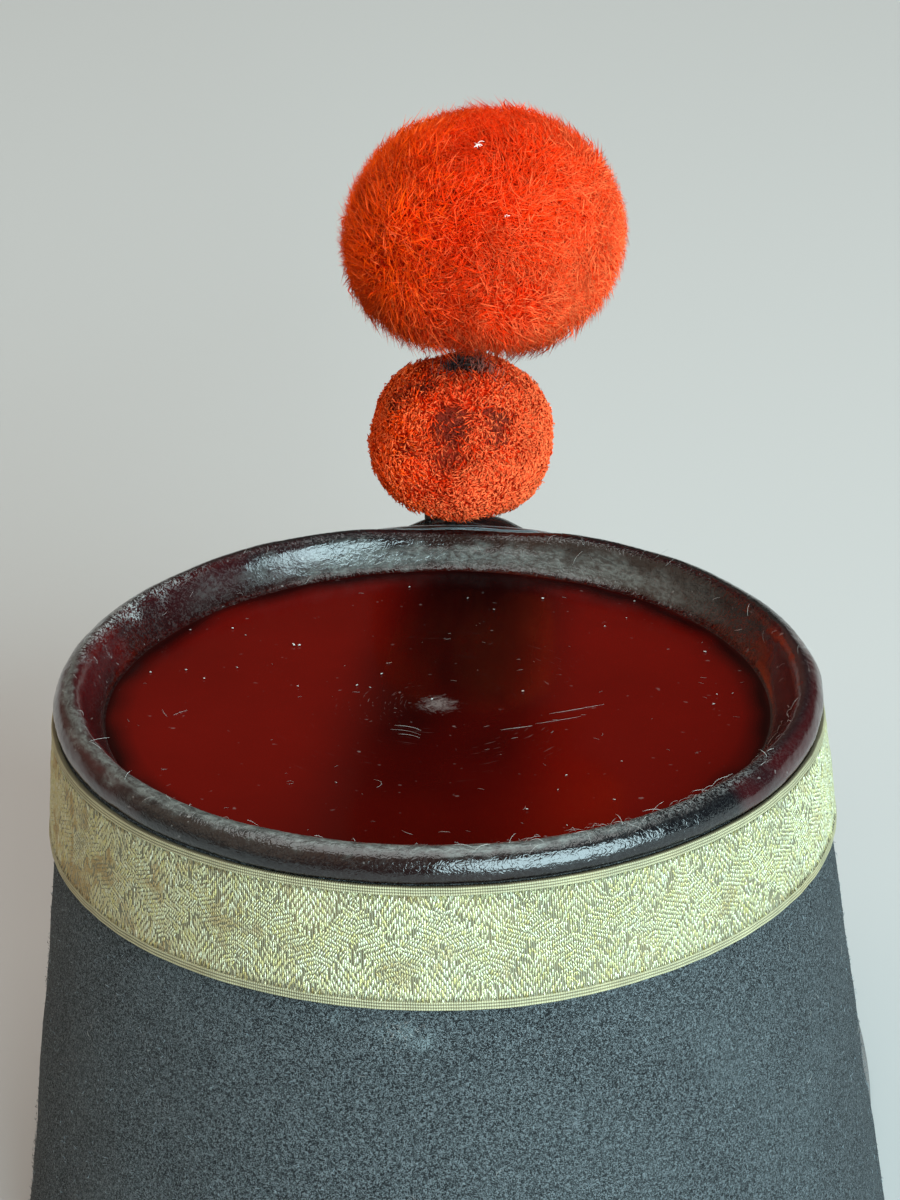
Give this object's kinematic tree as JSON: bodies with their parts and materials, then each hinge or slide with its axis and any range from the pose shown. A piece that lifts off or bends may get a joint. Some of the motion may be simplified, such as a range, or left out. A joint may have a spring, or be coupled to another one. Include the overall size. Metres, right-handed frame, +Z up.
{
  "type": "shako hat",
  "caption": "Cloth-covered military cap with a sunken patent leather crown, woven metal lace round the top, a leather peak and a large wool pompom over a small one.",
  "frame": {"origin": "centre of the whole hat's footprint, on the surface it rests on", "axes": "+Y to the hat's front (the peak and pompoms), +X to the wearer's right, +Z up"},
  "size_m": [0.1676, 0.241, 0.1822],
  "materials": {
    "cloth": "dark blue-grey milled wool cloth with a short nap",
    "crown_leather": "glossy black-cherry patent leather, scratched and dusty",
    "black_leather": "black patent leather",
    "lace": "tarnished pale gilt metal thread, woven",
    "wool": "orange-red clipped wool",
    "wire": "dark worn wire"
  },
  "bodies": {
    "root": {"body": "cloth", "crown_top": "crown_leather", "lace_band": "lace", "pompom_tab": "black_leather", "pompom_holder": "black_leather", "pompom_post": "wire", "holder_pin": "wire", "pompom_small": "wool", "pompom_large": "wool", "peak": "black_leather"}
  },
  "joints": []
}
